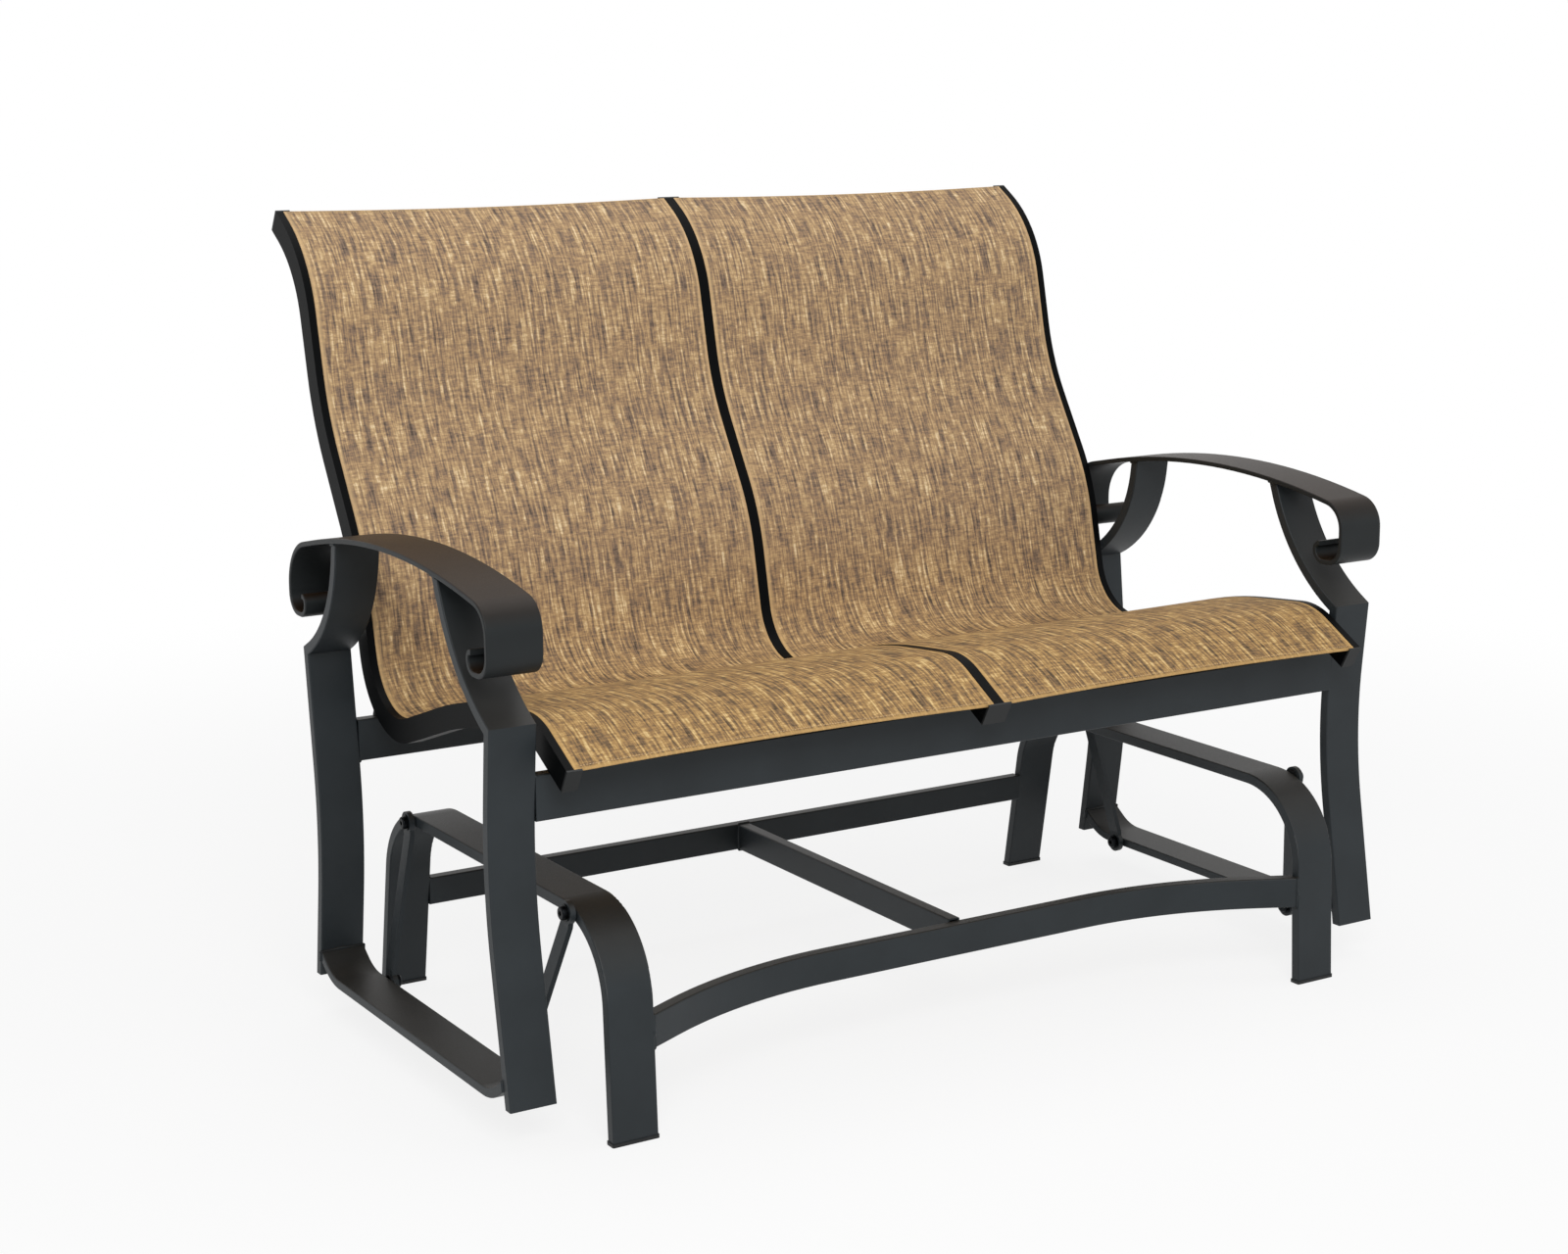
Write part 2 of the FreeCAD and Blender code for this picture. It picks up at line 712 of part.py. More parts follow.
def spreader(side, z):
    first = sling_path.index(waist_arc)
    spot = station(sling_path, 1, z, after=first)
    t = spot["heading"]
    half = spreader_height / 2
    y, z = spot["point"]
    path = straight((y - half * t[0], z - half * t[1]), (y + half * t[0], z + half * t[1]))
    low, high = across_span(side, center_rail_half, rail_inner)
    near = -fabric_thick - spreader_clear
    outside = band(path, near, near - spreader_depth, low, high)
    inset = straight((y - (half - spreader_wall) * t[0], z - (half - spreader_wall) * t[1]),
                     (y + (half - spreader_wall) * t[0], z + (half - spreader_wall) * t[1]))
    inside = band(inset, near - spreader_wall, near - spreader_depth + spreader_wall, low, high)
    return outside.cut(inside)


for name, side in SIDES.items():
    nodes["back_spreader_upper_" + name] = spreader(side, sling_top_z - upper_spreader_drop)
    nodes["back_spreader_lower_" + name] = spreader(side, sling_top_z - lower_spreader_drop)


# Tabs stand on the crossbars beside the rails, and a screw holds each rail to its tab

tab_faces = [(-rail_inner, 1), (-center_rail_half, -1), (center_rail_half, 1), (rail_inner, -1)]


def tab(face, way, base_y, base_z, eye):
    low, high = sorted([face, face + way * tab_thick])
    away = unit(eye[0] - base_y, eye[1] - base_z)
    foot = [(base_y - tab_base / 2, base_z), (base_y + tab_base / 2, base_z)]
    shoulders = [(eye[0] - tab_eye_radius * away[1], eye[1] + tab_eye_radius * away[0]),
                 (eye[0] + tab_eye_radius * away[1], eye[1] - tab_eye_radius * away[0])]
    corners = [side_view(point, low) for point in foot + shoulders[::-1] + foot[:1]]
    plate = Part.Face(Part.makePolygon(corners)).extrude(Vector(high - low, 0, 0))
    round_end = rod(tab_eye_radius, side_view(eye, low), Vector(1, 0, 0), high - low)
    bore = rod(screw_radius, side_view(eye, low), Vector(1, 0, 0), high - low)
    return plate.fuse(round_end).removeSplitter().cut(bore)


def rail_screw(face, way, eye):
    """Screw whose head bears on the tab and whose end stands in the hollow of the rail."""
    seat = face + way * tab_thick
    shank = rod(screw_radius, side_view(eye, seat), Vector(-way, 0, 0), screw_length)
    head = rod(screw_head_radius, side_view(eye, seat), Vector(way, 0, 0), screw_head_thick)
    return head.fuse(shank).removeSplitter()


tab_rows = {
    "front": (front_crossbar_y + crossbar_depth / 2, front_crossbar_top,
              place_on(nose_arc, front_tab_share, -hollow_middle)),
    "rear": (rear_crossbar_y + crossbar_depth / 2, rear_crossbar_top,
             place_on(hip_arc, rear_tab_share, -hollow_middle))}
for name, (base_y, base_z, eye) in tab_rows.items():
    nodes["rail_tabs_" + name] = Part.Compound([
        tab(face, way, base_y, base_z, eye) for face, way in tab_faces])
    nodes["rail_screws_" + name] = Part.Compound([
        rail_screw(face, way, eye) for face, way in tab_faces])
    for rail_name, (low, high, _) in rail_spans.items():
        for face, way in tab_faces:
            if low <= face <= high:
                hole = rod(screw_radius, side_view(eye, face), Vector(-way, 0, 0), rail_wall)
                nodes["sling_rail_" + rail_name] = nodes["sling_rail_" + rail_name].cut(hole)


# Links and pivots: the upper pivots are in the arches, the lower ones in the side rails

upper_z = base_top_z - upper_pivot_drop
lower_z = side_rail_top_z - side_rail_thick / 2
pivot_places = {
    "front": ((front_link_top_y, upper_z), (front_link_foot_y, lower_z)),
    "rear": ((rear_link_top_y, upper_z), (rear_link_foot_y, lower_z))}
link_set_off = pivot_side_clear + bush_flange_thick
upper_link_face = base_outer + link_set_off
lower_link_face = seat_inner - link_set_off
closed_bore = pivot_radius + pivot_run_clear
closed_bush = closed_bore + bush_wall
open_bore = pivot_radius + open_pivot_clear
open_bush = open_bore + open_bush_wall


def link(side, top, foot, foot_bush):
    """Flat bar with an eye at each end, joggled outward from the arch to the side rail."""
    length = math.dist(top, foot)
    reach = link_eye_radius + link_straight
    top_x = side * (upper_link_face + link_thick / 2)
    foot_x = side * (lower_link_face - link_thick / 2)
    path = outline(
        [(top_x, reach), (top_x, -link_straight), (foot_x, link_straight - length),
         (foot_x, -length - reach)],
        [link_bend_radius, link_bend_radius])
    bent = band(path, -link_thick / 2, link_thick / 2, -link_eye_radius, link_eye_radius,
                front_view)
    x0 = min(top_x, foot_x) - link_eye_radius
    span = abs(foot_x - top_x) + 2 * link_eye_radius
    shape = box(x0, x0 + span, -link_width / 2, link_width / 2, -length, 0.0)
    for z in (0.0, -length):
        shape = shape.fuse(rod(link_eye_radius, Vector(x0, 0, z), Vector(1, 0, 0), span))
    for z, bush in ((0.0, closed_bush), (-length, foot_bush)):
        shape = shape.cut(rod(bush + bush_fit_clear, Vector(x0, 0, z), Vector(1, 0, 0), span))
    solid = bent.common(shape.removeSplitter())
    lean = math.degrees(math.atan2(foot[0] - top[0], top[1] - foot[1]))
    solid.rotate(Vector(0, 0, 0), Vector(1, 0, 0), lean)
    solid.translate(side_view(top, 0.0))
    return solid


def bush(face, way, place, bore, outside):
    """Bush through a link's eye, with its flange on the side of the bar that carries the pivot."""
    axis = Vector(way, 0, 0)
    body = rod(outside, side_view(place, face), axis, link_thick)
    flange = rod(bush_flange_radius, side_view(place, face - way * bush_flange_thick), axis,
                 bush_flange_thick)
    hole = rod(bore, side_view(place, face - way * bush_flange_thick), axis,
               bush_flange_thick + link_thick)
    return body.fuse(flange).removeSplitter().cut(hole)


def washer(face, way, place):
    start = face + way * (link_thick + pivot_side_clear)
    axis = Vector(way, 0, 0)
    disc = rod(washer_radius, side_view(place, start), axis, washer_thick)
    return disc.cut(rod(pivot_radius, side_view(place, start), axis, washer_thick))


def pivot_bolt(face, way, place):
    """Bolt into the edge of a bar, with a hexagon socket in its head."""
    seat = face + way * (link_thick + pivot_side_clear + washer_thick)
    axis = Vector(way, 0, 0)
    grip = pivot_grip + link_set_off + link_thick + pivot_side_clear + washer_thick
    shank = rod(pivot_radius, side_view(place, seat - way * grip), axis, grip)
    head = rod(pivot_head_radius, side_view(place, seat), axis, pivot_head_thick)
    rim = [edge for edge in head.Edges if abs(edge.CenterOfMass.x - seat) > pivot_head_thick / 2
           and len(edge.Vertexes) == 1]
    head = head.makeFillet(pivot_head_thick / 3, rim[:1])
    socket_start = seat + way * (pivot_head_thick - pivot_socket_depth)
    corners = [stepped(place, 60.0 * index, pivot_socket_radius) for index in range(7)]
    outline_wire = Part.makePolygon([side_view(corner, socket_start) for corner in corners])
    socket = Part.Face(outline_wire).extrude(axis * (2 * pivot_socket_depth))
    return head.fuse(shank).removeSplitter().cut(socket)


def pivot_bore(face, way, place, set_off):
    start = face - way * (set_off + pivot_grip)
    return rod(pivot_radius, side_view(place, start), Vector(way, 0, 0), pivot_grip)


upper_bolts = []
upper_washers = []
lower_bolts = []
lower_washers = []
for name, side in SIDES.items():
    for end, (top, foot) in pivot_places.items():
        foot_bore = closed_bore if end == "front" else open_bore
        foot_bush = closed_bush if end == "front" else open_bush
        upper_face = side * upper_link_face
        lower_face = side * lower_link_face
        nodes["link_%s_%s" % (end, name)] = link(side, top, foot, foot_bush)
        nodes["link_bushes_%s_%s" % (end, name)] = Part.Compound([
            bush(upper_face, side, top, closed_bore, closed_bush),
            bush(lower_face, -side, foot, foot_bore, foot_bush)])
        upper_washers.append(washer(upper_face, side, top))
        lower_washers.append(washer(lower_face, -side, foot))
        upper_bolts.append(pivot_bolt(upper_face, side, top))
        lower_bolts.append(pivot_bolt(lower_face, -side, foot))
        arch = "base_arch_" + name
        rail_bar = "side_rail_" + name
        nodes[arch] = nodes[arch].cut(pivot_bore(upper_face, side, top, link_set_off))
        nodes[rail_bar] = nodes[rail_bar].cut(pivot_bore(lower_face, -side, foot, link_set_off))
nodes["upper_pivot_bolts"] = Part.Compound(upper_bolts)
nodes["upper_pivot_washers"] = Part.Compound(upper_washers)
nodes["lower_pivot_bolts"] = Part.Compound(lower_bolts)
nodes["lower_pivot_washers"] = Part.Compound(lower_washers)


# Finish: move everything so that the middle of the depth is on Y = 0, then write the pieces

whole = Part.Compound(list(nodes.values())).optimalBoundingBox(False)
middle_y = (whole.YMin + whole.YMax) / 2
os.makedirs("parts", exist_ok=True)
for name, shape in nodes.items():
    shape.translate(Vector(0, -middle_y, 0))
    shape.exportStep("parts/%s.step" % name)
print("moved back by %.3f mm, height %.3f, depth %.3f, width %.3f, %d pieces" % (
    middle_y, whole.ZMax - whole.ZMin, whole.YMax - whole.YMin, whole.XMax - whole.XMin,
    len(nodes)))
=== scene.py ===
import bpy
import json
import math
import numpy as np
from mathutils import Matrix, Vector
from mathutils.geometry import convex_hull_2d


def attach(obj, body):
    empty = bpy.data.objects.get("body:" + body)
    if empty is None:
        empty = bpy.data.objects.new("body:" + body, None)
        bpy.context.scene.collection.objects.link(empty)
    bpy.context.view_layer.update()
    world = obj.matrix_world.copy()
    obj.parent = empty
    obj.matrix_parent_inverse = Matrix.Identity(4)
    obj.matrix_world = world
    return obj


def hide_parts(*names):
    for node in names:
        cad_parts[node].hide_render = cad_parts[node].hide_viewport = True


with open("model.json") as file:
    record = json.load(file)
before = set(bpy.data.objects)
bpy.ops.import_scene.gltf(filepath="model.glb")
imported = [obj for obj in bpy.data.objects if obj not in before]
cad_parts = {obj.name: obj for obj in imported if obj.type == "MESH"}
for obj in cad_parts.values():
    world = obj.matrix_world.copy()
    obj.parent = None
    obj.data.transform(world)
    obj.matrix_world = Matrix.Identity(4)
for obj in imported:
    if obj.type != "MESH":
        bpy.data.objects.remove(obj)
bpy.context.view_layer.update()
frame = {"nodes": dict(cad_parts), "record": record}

# Lengths below are in millimetres, unless their comment says otherwise
MM = 0.001

# Camera at the photograph's place: it stands to the left of the bench and looks down on it a
# little. Its place is in metres, its turns are in radians.
CAMERA_PLACE = (-1.7138, -2.7214, 1.0968)
CAMERA_YAW = 0.5478
CAMERA_PITCH = 0.2035
CAMERA_ROLL = 0.0085
CAMERA_LENS = 61.50
SENSOR_WIDTH = 36.0

# Sling line in the side view, y and z from the front edge to the top of the back. The shift
# brings y to the middle of the bench's depth.
SLING_SHIFT = 345.269
SLING_POINTS = [(-26, 410), (50, 453), (215, 437.5), (460, 355), (501, 553), (594.5, 708),
                (634.5, 892), (711.5, 940.5)]
SLING_RADII = [90, 600, 75, 280, 300, 165]
SLING_FAR_OUT = 530.0
CENTER_STRIP = 13.0
FABRIC_CLEAR = 0.25
PANEL_INNER = CENTER_STRIP / 2 + FABRIC_CLEAR
PANEL_OUTER = SLING_FAR_OUT - FABRIC_CLEAR
RAIL_LAND = 9.0
SLOT_DROP = 6.0
CLOTH_THICK = 1.6
CLOTH_EDGE_ROUND = 1.3
CLOTH_EDGE_STEPS = 3
ROW_STEP = 6.0
COLUMNS = 60

# Pull along the stretched cloth as a share of the pull across it
PULL_SHARE = 0.030
LOAD_BLUR = 5
RELAX_STEPS = 3000

# How far the free ends draw back between the rails, at the middle of a panel
FRONT_BOW = 6.0
TOP_BOW = 2.0

# Hems at the front and top ends of each panel, folded under and sewn close to the fold
HEM_WIDTH = 24.0
HEM_THICK = 1.3
HEM_GAP = 0.2
HEM_FOLD_STEPS = 8
STITCH_INSET = 4.0
STITCH_LENGTH = 2.7
STITCH_PITCH = 3.6
STITCH_RADIUS = 0.5
STITCH_SIDES = 6
STITCH_RINGS = [(0.0, 0.35), (0.15, 0.85), (0.5, 1.0), (0.85, 0.85), (1.0, 0.35)]

# Weld beads where tubes and posts stand on bars
WELD_RADIUS = 2.4
WELD_PITCH = 2.2
WELD_SIDES = 10
WELD_WAIST = 0.86
TOUCHING = 1.2

# Middle part of a noise pattern's values, which holds nearly all of them
NOISE_LOW = 0.3
NOISE_HIGH = 0.7

# Patterns of the cloth
YARN_PITCH = 1.3
YARN_HEIGHT = 0.2
STROKE_HEIGHT = 0.8
WARP_WIDTH = 4.0
WARP_LENGTH = 60.0
WEFT_WIDTH = 3.4
WEFT_LENGTH = 15.0
WEFT_SHARE = 0.34
FINE_WARP_SHARE = 0.35
FINE_WEFT_SHARE = 0.4
FINE_WIDTH = 0.5
FINE_LENGTH = 0.3
WARP_SEEDS = (0.0, 3.1)
WEFT_SEEDS = (7.3, 9.9)
CLOTH_STOPS = [(0.34, "#554a42"), (0.43, "#85705f"), (0.50, "#a88a69"), (0.57, "#c8a87c"),
               (0.66, "#f0dab2")]
SEAT_END = 400.0
BACK_START = 620.0
SEAT_CONTRAST = 1.2
# Painted light: tint of the seat, more golden than the back, in place of the greyer sky reflection
# on the back
SEAT_PAINTED_TINT = "#f5ecd0"
CLOTH_ROUGHNESS = 0.7
CLOTH_GLOSS = 0.15

# Painted highlight along the cloth's edges: distances from an edge at which it starts and where it
# is full
SIDE_HIGHLIGHT = (7.0, 3.0)
END_HIGHLIGHT = (2.4, 0.8)
HIGHLIGHT_SHADE = "#d8b687"
HIGHLIGHT_SHARE = 0.7

# Patterns of the other materials
COAT_GRAIN = 0.9
COAT_HEIGHT = 0.12
COAT_CLOUD = 71.43
COAT_CLOUD_SWING = 0.12
COAT_ROUGH_SWING = 0.06
# Painted reflection on upward faces: how far up a face points where it starts and where it is full
UPWARD_REFLECTION_START = 0.25
UPWARD_REFLECTION_FULL = 0.95
PLASTIC_GRAIN = 0.5
PLASTIC_HEIGHT = 0.06
STEEL_MARKS = 1.5

# Studio: distances from the middle of the floor in metres, and strengths of light
FLOOR_HALF = 40.0
GLOW_NEAR = 0.9
GLOW_FAR = 2.6
GLOW_LEAST = 0.84
WORLD_LIGHT = 0.33


def linear(code):
    """Linear colour of an sRGB hex code."""
    parts = [int(code[i:i + 2], 16) / 255 for i in (1, 3, 5)]
    return tuple(p / 12.92 if p <= 0.04045 else ((p + 0.055) / 1.055) ** 2.4 for p in parts) + (1,)


def add(tree, kind, inputs=None, **settings):
    """Adds a shader node, sets its properties, and sets or links its inputs."""
    node = tree.nodes.new("ShaderNode" + kind)
    for key, value in settings.items():
        setattr(node, key, value)
    for key, value in (inputs or {}).items():
        if isinstance(value, bpy.types.NodeSocket):
            tree.links.new(value, node.inputs[key])
        else:
            node.inputs[key].default_value = value
    return node


def new_material(name):
    """An empty material and its node tree."""
    material = bpy.data.materials.new(name)
    material.use_nodes = True
    material.node_tree.nodes.clear()
    return material, material.node_tree


def finish_surface(tree, **inputs):
    """Ends a material with one surface shader, whose inputs are named with underscores."""
    shader = add(tree, "BsdfPrincipled", {key.replace("_", " "): value
                                          for key, value in inputs.items()})
    add(tree, "OutputMaterial", {"Surface": shader.outputs[0]})


def set_stops(ramp, stops):
    """Sets a colour ramp to a list of places with their hex codes."""
    elements = ramp.color_ramp.elements
    while len(elements) < len(stops):
        elements.new(0.5)
    for element, (place, code) in zip(elements, stops):
        element.position = place
        element.color = linear(code)


# Sling line

def sling_line():
    """Points, headings and curvatures along the sling line at even steps, in millimetres."""
    runs = []
    place = np.array(SLING_POINTS[0], float)
    corners = [np.array(p, float) for p in SLING_POINTS]
    for before, corner, after, radius in zip(corners, corners[1:], corners[2:], SLING_RADII):
        way_in = (corner - before) / np.linalg.norm(corner - before)
        way_out = (after - corner) / np.linalg.norm(after - corner)
        turn = math.atan2(way_in[0] * way_out[1] - way_in[1] * way_out[0], way_in @ way_out)
        reach = radius * abs(math.tan(turn / 2))
        start = corner - reach * way_in
        runs.append((place, way_in, np.linalg.norm(start - place), 0.0))
        runs.append((start, way_in, radius * abs(turn), math.copysign(1 / radius, turn)))
        place = corner + reach * way_out
    last = corners[-1] - place
    runs.append((place, last / np.linalg.norm(last), np.linalg.norm(last), 0.0))
    whole = sum(run[2] for run in runs)
    count = round(whole / ROW_STEP)
    points, headings, bends = [], [], []
    for step in range(count + 1):
        distance = whole * step / count
        for start, way, length, bend in runs:
            if distance <= length + 1e-9:
                break
            distance -= length
        angle = distance * bend
        turned = np.array([way[0] * math.cos(angle) - way[1] * math.sin(angle),
                           way[0] * math.sin(angle) + way[1] * math.cos(angle)])
        if bend:
            side = np.array([-way[1], way[0]]) / bend
            turned_side = np.array([-turned[1], turned[0]]) / bend
            point = start + side - turned_side
        else:
            point = start + distance * way
        points.append(point)
        headings.append(turned)
        bends.append(bend)
    return np.array(points), np.array(headings), np.array(bends), whole


def stretched(bends, length, width):
    """How far a cloth held only at its sides stands off its line, at every row and column.

    It cuts across the hollow bends and dips into the round ones, most at its middle."""
    down = length / (len(bends) - 1)
    across = width / COLUMNS
    lift = np.zeros((len(bends), COLUMNS + 1))
    pull_along = PULL_SHARE / down ** 2
    pull_across = 1 / across ** 2
    padded = np.pad(bends, LOAD_BLUR // 2, mode="edge")
    load = PULL_SHARE * np.convolve(padded, np.ones(LOAD_BLUR) / LOAD_BLUR, "valid")
    for _ in range(RELAX_STEPS):
        above = np.vstack([lift[1:], lift[-1:]])
        below = np.vstack([lift[:1], lift[:-1]])
        inner = (pull_across * (lift[:, 2:] + lift[:, :-2])
                 + pull_along * (above + below)[:, 1:-1] + load[:, None])
        lift[:, 1:-1] = inner / (2 * pull_across + 2 * pull_along)
    return lift


line_points, line_headings, line_bends, line_length = sling_line()
panel_width = PANEL_OUTER - PANEL_INNER
cloth_lift = stretched(line_bends, line_length, panel_width)


# Materials

def powder_coat(name, code, upward_reflection_code, roughness, gloss):
    """Polyester powder coat baked on aluminium: satin, with a fine pebbled skin, a little cloudy
    in tone from place to place, and painted browner on upward faces, a painted reflection of warm
    light from above."""
    material, tree = new_material(name)
    place = add(tree, "TexCoord").outputs["Object"]
    grain = add(tree, "TexNoise", {"Vector": place, "Scale": 1 / (COAT_GRAIN * MM),
                                   "Detail": 2.0, "Roughness": 0.5})
    cloud = add(tree, "TexNoise", {"Vector": place, "Scale": 1 / (COAT_CLOUD * MM),
                                   "Detail": 3.0})
    # Painted reflection: upward faces are mixed towards a browner colour in place of the warm light
    # they reflect
    upward = add(tree, "SeparateXYZ", {"Vector": add(tree, "NewGeometry").outputs["Normal"]})
    upward_reflection = add(tree, "MapRange", {"Value": upward.outputs["Z"], "From Min": UPWARD_REFLECTION_START,
                                   "From Max": UPWARD_REFLECTION_FULL})
    shade = add(tree, "Mix", {"Factor": upward_reflection.outputs[0], "A": linear(code),
                              "B": linear(upward_reflection_code)}, data_type="RGBA")
    lift = add(tree, "MapRange", {"Value": cloud.outputs["Fac"], "From Min": NOISE_LOW,
                                  "From Max": NOISE_HIGH, "To Min": 1 - COAT_CLOUD_SWING,
                                  "To Max": 1 + COAT_CLOUD_SWING})
    colour = add(tree, "VectorMath", {0: shade.outputs["Result"], 1: lift.outputs[0]},
                 operation="MULTIPLY")
    rough = add(tree, "MapRange", {"Value": grain.outputs["Fac"], "From Min": NOISE_LOW,
                                   "From Max": NOISE_HIGH,
                                   "To Min": roughness - COAT_ROUGH_SWING,
                                   "To Max": roughness + COAT_ROUGH_SWING})
    bump = add(tree, "Bump", {"Height": grain.outputs["Fac"], "Strength": 0.35,
                              "Distance": COAT_HEIGHT * MM})
    finish_surface(tree, Base_Color=colour.outputs[0], Roughness=rough.outputs[0],
                   Normal=bump.outputs[0], Specular_IOR_Level=gloss)
    return material


def moulded_plastic(name, code, roughness):
    """Injection-moulded plastic: dull black with a fine spark-eroded grain."""
    material, tree = new_material(name)
    place = add(tree, "TexCoord").outputs["Object"]
    grain = add(tree, "TexNoise", {"Vector": place, "Scale": 1 / (PLASTIC_GRAIN * MM),
                                   "Detail": 1.0})
    bump = add(tree, "Bump", {"Height": grain.outputs["Fac"], "Strength": 0.4,
                              "Distance": PLASTIC_HEIGHT * MM})
    finish_surface(tree, Base_Color=linear(code), Roughness=roughness,
                   Normal=bump.outputs[0], Specular_IOR_Level=0.35)
    return material


def machined_steel(name, code):
    """Machined steel with a black oxide or a zinc coat: a metal with a thin, uneven shine."""
    material, tree = new_material(name)
    place = add(tree, "TexCoord").outputs["Object"]
    marks = add(tree, "TexNoise", {"Vector": place, "Scale": 1 / (STEEL_MARKS * MM),
                                   "Detail": 3.0})
    rough = add(tree, "MapRange", {"Value": marks.outputs["Fac"], "To Min": 0.3, "To Max": 0.5})
    finish_surface(tree, Base_Color=linear(code), Metallic=1.0, Roughness=rough.outputs[0])
    return material


def streaks(tree, fine, long, width, length, seed):
    """Noise drawn out along one way of the cloth: short strokes, a few yarns wide."""
    across = add(tree, "Math", {0: fine, 1: 1 / (width * MM)}, operation="MULTIPLY")
    along = add(tree, "Math", {0: long, 1: 1 / (length * MM)}, operation="MULTIPLY")
    spot = add(tree, "CombineXYZ", {"X": across.outputs[0], "Y": along.outputs[0], "Z": seed})
    return add(tree, "TexNoise", {"Vector": spot.outputs[0], "Scale": 1.0, "Detail": 1.0,
                                  "Roughness": 0.5}).outputs["Fac"]


def near_edge(tree, place, size, start, end):
    """0 inside a panel, rising to 1 between two distances from either of its opposite edges."""
    half = size / 2
    off = add(tree, "Math", {0: place, 1: half * MM}, operation="SUBTRACT")
    distance = add(tree, "Math", {0: off.outputs[0]}, operation="ABSOLUTE")
    return add(tree, "MapRange", {"Value": distance.outputs[0], "From Min": (half - start) * MM,
                                  "From Max": (half - end) * MM}).outputs[0]


def two_streaks(tree, fine, long, width, length, seeds, fine_share):
    """Strokes of two sizes mixed, the finer ones thinner and shorter."""
    wide = streaks(tree, fine, long, width, length, seeds[0])
    thin = streaks(tree, fine, long, FINE_WIDTH * width, FINE_LENGTH * length, seeds[1])
    return add(tree, "Mix", {"Factor": fine_share, "A": wide, "B": thin}).outputs[0]


def sling_weave(name):
    """Woven mesh of vinyl-coated polyester yarn, in tan, gold and brown: each yarn changes shade
    along its length, which draws strokes both ways, longer along the seat than across it. The
    yarns are 1.3 mm apart, too fine to show, so the strokes are drawn two or three yarns wide.
    Towards the edges, where the cloth bends round its rods and folds, a painted highlight lightens
    it. The seat is painted more golden than the back, a painted reflection that stands in for the
    greyer sky light on the back, and it shows its strokes more."""
    material, tree = new_material(name)
    cloth = add(tree, "SeparateXYZ", {"Vector": add(tree, "UVMap", uv_map="cloth").outputs[0]})
    across = cloth.outputs["X"]
    along = cloth.outputs["Y"]
    warp = two_streaks(tree, across, along, WARP_WIDTH, WARP_LENGTH, WARP_SEEDS,
                       FINE_WARP_SHARE)
    weft = two_streaks(tree, along, across, WEFT_WIDTH, WEFT_LENGTH, WEFT_SEEDS,
                       FINE_WEFT_SHARE)
    streak = add(tree, "Mix", {"Factor": WEFT_SHARE, "A": warp, "B": weft}).outputs[0]
    upright = add(tree, "MapRange", {"Value": along, "From Min": SEAT_END * MM,
                                     "From Max": BACK_START * MM}).outputs[0]
    gain = add(tree, "MapRange", {"Value": upright, "To Min": SEAT_CONTRAST, "To Max": 1.0})
    off = add(tree, "Math", {0: streak, 1: 0.5}, operation="SUBTRACT")
    spread = add(tree, "Math", {0: off.outputs[0], 1: gain.outputs[0], 2: 0.5},
                 operation="MULTIPLY_ADD")
    tint = add(tree, "ValToRGB", {"Fac": spread.outputs[0]})
    set_stops(tint, CLOTH_STOPS)
    ridges = []
    for line in (across, along):
        angle = add(tree, "Math", {0: line, 1: 2 * math.pi / (YARN_PITCH * MM)},
                    operation="MULTIPLY")
        ridges.append(add(tree, "Math", {0: angle.outputs[0]}, operation="SINE"))
    weave = add(tree, "Math", {0: ridges[0].outputs[0], 1: ridges[1].outputs[0]},
                operation="MULTIPLY")
    bump = add(tree, "Bump", {"Height": weave.outputs[0], "Strength": 0.5,
                              "Distance": YARN_HEIGHT * MM})
    relief = add(tree, "Bump", {"Height": streak, "Strength": 0.6,
                                "Distance": STROKE_HEIGHT * MM, "Normal": bump.outputs[0]})
    # Painted highlight: the cloth's colour is lightened near its side edges and its end edges
    side_highlight = near_edge(tree, across, panel_width, *SIDE_HIGHLIGHT)
    end_highlight = near_edge(tree, along, line_length, *END_HIGHLIGHT)
    rim = add(tree, "Math", {0: side_highlight, 1: end_highlight}, operation="MAXIMUM")
    painted_highlight = add(tree, "Math", {0: rim.outputs[0], 1: HIGHLIGHT_SHARE}, operation="MULTIPLY")
    colour = add(tree, "Mix", {"Factor": painted_highlight.outputs[0], "A": tint.outputs["Color"],
                               "B": linear(HIGHLIGHT_SHADE)}, data_type="RGBA")
    # Painted light: the seat is tinted more golden than the back, in place of the greyer sky
    # reflection on the back
    seat_painted_tint = add(tree, "Mix", {"Factor": upright, "A": linear(SEAT_PAINTED_TINT),
                             "B": linear("#ffffff")}, data_type="RGBA")
    shade = add(tree, "VectorMath", {0: colour.outputs["Result"], 1: seat_painted_tint.outputs["Result"]},
                operation="MULTIPLY")
    finish_surface(tree, Base_Color=shade.outputs[0], Roughness=CLOTH_ROUGHNESS,
                   Normal=relief.outputs[0], Specular_IOR_Level=CLOTH_GLOSS)
    return material


def thread(name, code):
    """Bonded polyester sewing thread: round, matt, a shade lighter than the cloth."""
    material, tree = new_material(name)
    finish_surface(tree, Base_Color=linear(code), Roughness=0.7, Specular_IOR_Level=0.2)
    return material


# The second colour of each coat is the painted reflection on its upward faces
charcoal_coat = powder_coat("charcoal_powder_coat", "#282d30", "#2a2825", 0.46, 0.24)
